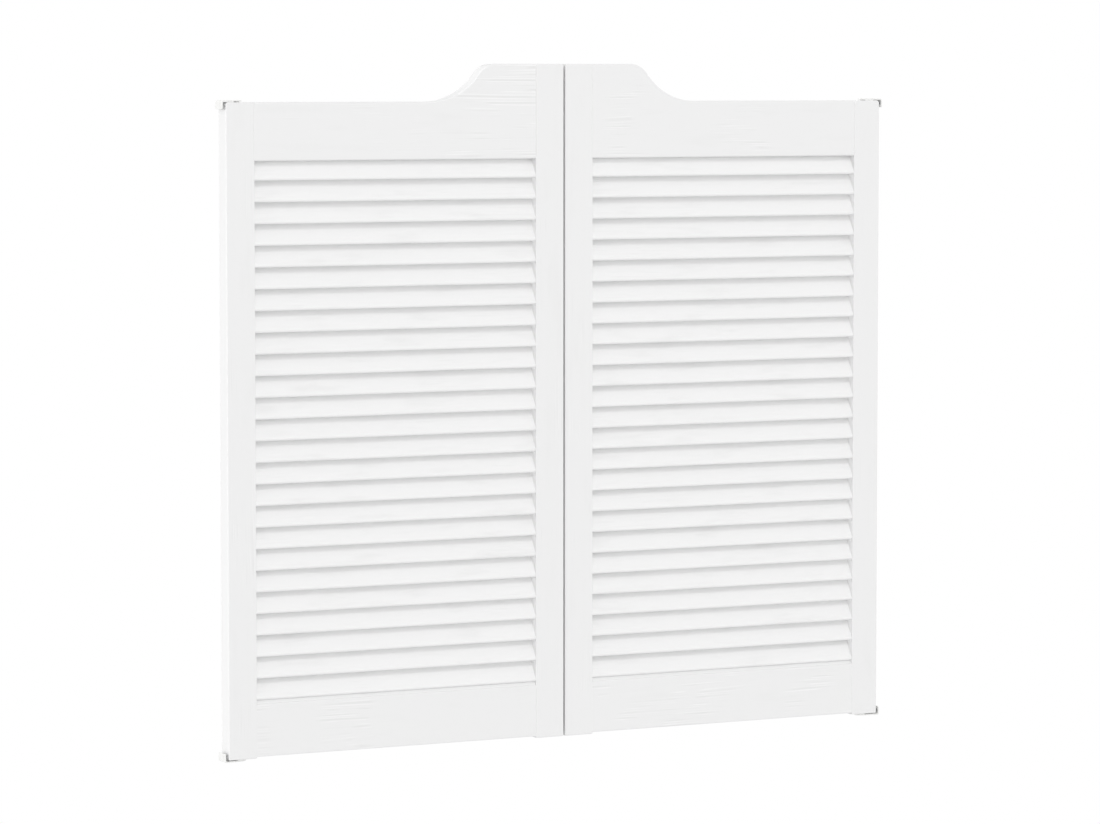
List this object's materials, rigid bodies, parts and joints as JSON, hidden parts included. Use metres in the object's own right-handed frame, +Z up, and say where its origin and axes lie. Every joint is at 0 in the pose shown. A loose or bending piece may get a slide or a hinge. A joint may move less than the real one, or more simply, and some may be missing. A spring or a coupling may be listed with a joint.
{
  "type": "cafe swinging doors",
  "caption": "White louvered cafe doors with ogee shoulders. Each leaf swings both ways on jamb pivot brackets and a return spring in its stile brings it back.",
  "frame": {"origin": "midway between the two jamb faces, mid-thickness of the leaves, level with the underside of the bottom brackets", "axes": "+X to the right along the width seen from the front, +Y to the back, +Z up"},
  "size_m": [1.1762, 0.0286, 1.0731],
  "materials": {
    "frame_paint": "white satin paint over wood grain",
    "slat_paint": "white satin paint on smooth slats",
    "bracket_paint": "white enamel",
    "spring_steel": "oiled spring wire"
  },
  "bodies": {
    "jamb_hardware": {"left_top_bracket": "bracket_paint", "left_bottom_bracket": "bracket_paint", "right_top_bracket": "bracket_paint", "right_bottom_bracket": "bracket_paint"},
    "left_leaf": {"left_hinge_stile": "frame_paint", "left_meeting_stile": "frame_paint", "left_top_rail": "frame_paint", "left_bottom_rail": "frame_paint", "left_slat_02": "slat_paint", "left_slat_03": "slat_paint", "left_slat_04": "slat_paint", "left_slat_05": "slat_paint", "left_slat_06": "slat_paint", "left_slat_07": "slat_paint", "left_slat_08": "slat_paint", "left_slat_09": "slat_paint", "left_slat_10": "slat_paint", "left_slat_11": "slat_paint", "left_slat_12": "slat_paint", "left_slat_13": "slat_paint", "left_slat_14": "slat_paint", "left_slat_15": "slat_paint", "left_slat_16": "slat_paint", "left_slat_17": "slat_paint", "left_slat_18": "slat_paint", "left_slat_19": "slat_paint", "left_slat_20": "slat_paint", "left_slat_21": "slat_paint", "left_slat_22": "slat_paint", "left_slat_23": "slat_paint", "left_slat_24": "slat_paint", "left_return_spring": "spring_steel"},
    "right_leaf": {"right_hinge_stile": "frame_paint", "right_meeting_stile": "frame_paint", "right_top_rail": "frame_paint", "right_bottom_rail": "frame_paint", "right_slat_02": "slat_paint", "right_slat_03": "slat_paint", "right_slat_04": "slat_paint", "right_slat_05": "slat_paint", "right_slat_06": "slat_paint", "right_slat_07": "slat_paint", "right_slat_08": "slat_paint", "right_slat_09": "slat_paint", "right_slat_10": "slat_paint", "right_slat_11": "slat_paint", "right_slat_12": "slat_paint", "right_slat_13": "slat_paint", "right_slat_14": "slat_paint", "right_slat_15": "slat_paint", "right_slat_16": "slat_paint", "right_slat_17": "slat_paint", "right_slat_18": "slat_paint", "right_slat_19": "slat_paint", "right_slat_20": "slat_paint", "right_slat_21": "slat_paint", "right_slat_22": "slat_paint", "right_slat_23": "slat_paint", "right_slat_24": "slat_paint", "right_return_spring": "spring_steel"}
  },
  "joints": [
    {"name": "left_leaf_swing", "type": "hinge", "parent": "jamb_hardware", "child": "left_leaf", "pos_m": [-0.5584, 0, 0], "axis": [0, 0, 1], "range_deg": [-90, 90], "stiffness_Nm_per_rad": 4, "deforming": ["left_return_spring"]},
    {"name": "right_leaf_swing", "type": "hinge", "parent": "jamb_hardware", "child": "right_leaf", "pos_m": [0.5584, 0, 0], "axis": [0, 0, 1], "range_deg": [-90, 90], "stiffness_Nm_per_rad": 4, "deforming": ["right_return_spring"]}
  ]
}
